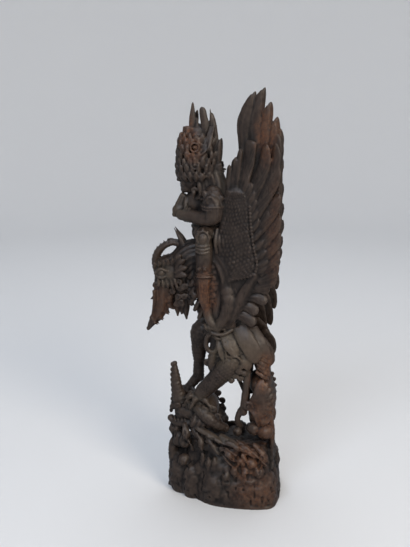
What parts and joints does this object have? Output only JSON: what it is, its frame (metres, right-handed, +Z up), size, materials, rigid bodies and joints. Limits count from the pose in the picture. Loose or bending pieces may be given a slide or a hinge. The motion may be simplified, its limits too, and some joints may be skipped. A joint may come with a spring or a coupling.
{
  "type": "vishnu on garuda carving",
  "caption": "Tall wooden carving of a crowned rider on the shoulders of a winged bird-man standing on a coiled serpent, cut in one block with its leafy rock plinth",
  "frame": {"origin": "centre of the bounding box at its bottom, under the flat underside of the plinth", "axes": "+Z up, the figures face -Y, their left side is +X"},
  "size_m": [0.0652, 0.1014, 0.3],
  "materials": {
    "dark_hardwood": "oiled and rubbed to a soft satin"
  },
  "bodies": {
    "root": {"carving_with_plinth": "dark_hardwood"}
  },
  "joints": []
}
